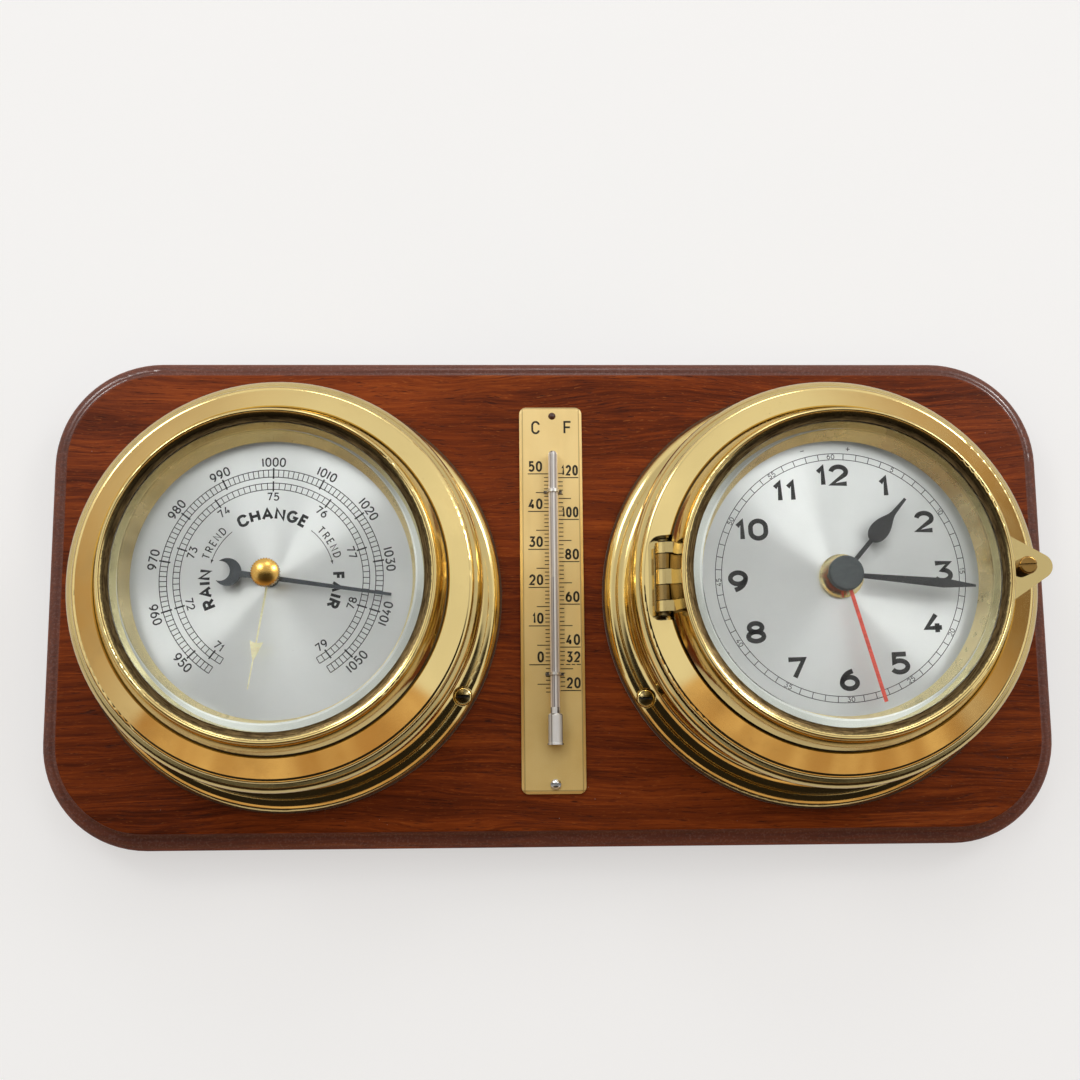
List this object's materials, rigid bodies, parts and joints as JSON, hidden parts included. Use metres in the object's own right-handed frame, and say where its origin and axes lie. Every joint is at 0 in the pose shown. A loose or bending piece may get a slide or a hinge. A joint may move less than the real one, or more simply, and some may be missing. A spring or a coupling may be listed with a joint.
{
  "type": "barometer, thermometer and clock wall set",
  "caption": "Brass aneroid barometer and hinged-bezel battery clock either side of a thermometer on a mahogany wall board.",
  "frame": {"origin": "middle of the board's back face", "axes": "+X to the reader's right, +Y towards twelve o'clock, +Z the way the dials face"},
  "size_m": [0.313, 0.153, 0.0742],
  "materials": {
    "mahogany": "satin varnish",
    "brass": "polished and lacquered",
    "dark_brass": "tarnished",
    "glass": "clear",
    "silvered_dial": "radially brushed",
    "gold_plate": "satin gold anodised",
    "mercury": "bright",
    "steel": "machined",
    "blued_steel": "satin",
    "black_paint": "matt",
    "red_paint": "satin",
    "cream_paint": "satin",
    "felt": "rough",
    "black_plastic": "moulded",
    "battery_sleeve": "printed sleeve, plain"
  },
  "bodies": {
    "base": {"board": "mahogany", "flange_gaskets": "felt", "barometer_case": "brass", "clock_case": "brass", "barometer_front_ring": "brass", "clock_front_ring": "brass", "barometer_bezel": "brass", "barometer_dial_ring": "brass", "clock_dial_ring": "brass", "barometer_glass_ring": "brass", "hinge_case_leaf": "brass", "hinge_pin": "brass", "cup_washers": "brass", "flange_screws": "dark_brass", "set_hand_bush": "brass", "dial_nut": "brass", "barometer_glass": "glass", "thermometer_stem": "glass", "barometer_dial": "silvered_dial", "clock_dial": "silvered_dial", "dial_spacers": "steel", "thermometer_plate": "gold_plate", "thermometer_bulb": "mercury", "mercury_column": "mercury", "stem_clips": "gold_plate", "plate_pin": "dark_brass", "plate_screw": "dark_brass", "aneroid_base_plate": "steel", "aneroid_capsule": "steel", "spring_post": "steel", "capsule_spring": "steel", "capsule_lever": "steel", "lower_bridge": "brass", "upper_bridge": "brass", "bridge_pillars": "steel", "clock_movement": "black_plastic", "battery": "battery_sleeve"},
    "clock_bezel_assembly": {"clock_bezel": "brass", "clock_glass": "glass", "clock_glass_ring": "brass", "hinge_bezel_leaf": "brass"},
    "latch": {"latch_screw": "dark_brass"},
    "minute": {"minute_hand": "black_paint"},
    "hour": {"hour_hand": "black_paint"},
    "second": {"second_hand": "red_paint", "hand_cap": "black_paint"},
    "aneroid_sector": {"sector_gear": "brass"},
    "pointer": {"barometer_hand": "blued_steel", "pointer_arbor": "steel", "hairspring": "steel"},
    "set_pointer": {"set_knob": "brass", "set_hand": "cream_paint"}
  },
  "joints": [
    {"name": "bezel_hinge", "type": "hinge", "parent": "base", "child": "clock_bezel_assembly", "pos_m": [0.0305, 0, 0.0586], "axis": [0, -1, 0], "range_deg": [0, 115]},
    {"name": "latch_screw_turn", "type": "hinge", "parent": "clock_bezel_assembly", "child": "latch", "pos_m": [0.13336, 0.0021, 0.063], "axis": [0, 0, 1], "range_deg": [0, 1080]},
    {"name": "minute_turn", "type": "hinge", "parent": "base", "child": "minute", "pos_m": [0.0812, 0, 0.063], "axis": [0, 0, -1], "continuous": true},
    {"name": "hour_turn", "type": "hinge", "parent": "base", "child": "hour", "pos_m": [0.0812, 0, 0.0615], "axis": [0, 0, -1], "continuous": true},
    {"name": "second_turn", "type": "hinge", "parent": "base", "child": "second", "pos_m": [0.0812, 0, 0.0645], "axis": [0, 0, -1], "continuous": true},
    {"name": "sector_turn", "type": "hinge", "parent": "base", "child": "aneroid_sector", "pos_m": [-0.0812, -0.01625, 0.048], "axis": [0, 0, 1], "range_deg": [-20.3, 4.2]},
    {"name": "pointer_turn", "type": "hinge", "parent": "base", "child": "pointer", "pos_m": [-0.0812, 0, 0.061], "axis": [0, 0, 1], "range_deg": [-51, 244]},
    {"name": "set_pointer_turn", "type": "hinge", "parent": "base", "child": "set_pointer", "pos_m": [-0.0812, 0, 0.068], "axis": [0, 0, 1], "continuous": true}
  ],
  "couplings": [
    {"joint": "hour_turn", "follows": "minute_turn", "ratio": 0.083333},
    {"joint": "second_turn", "follows": "minute_turn", "ratio": 60},
    {"joint": "pointer_turn", "follows": "sector_turn", "ratio": -12}
  ]
}
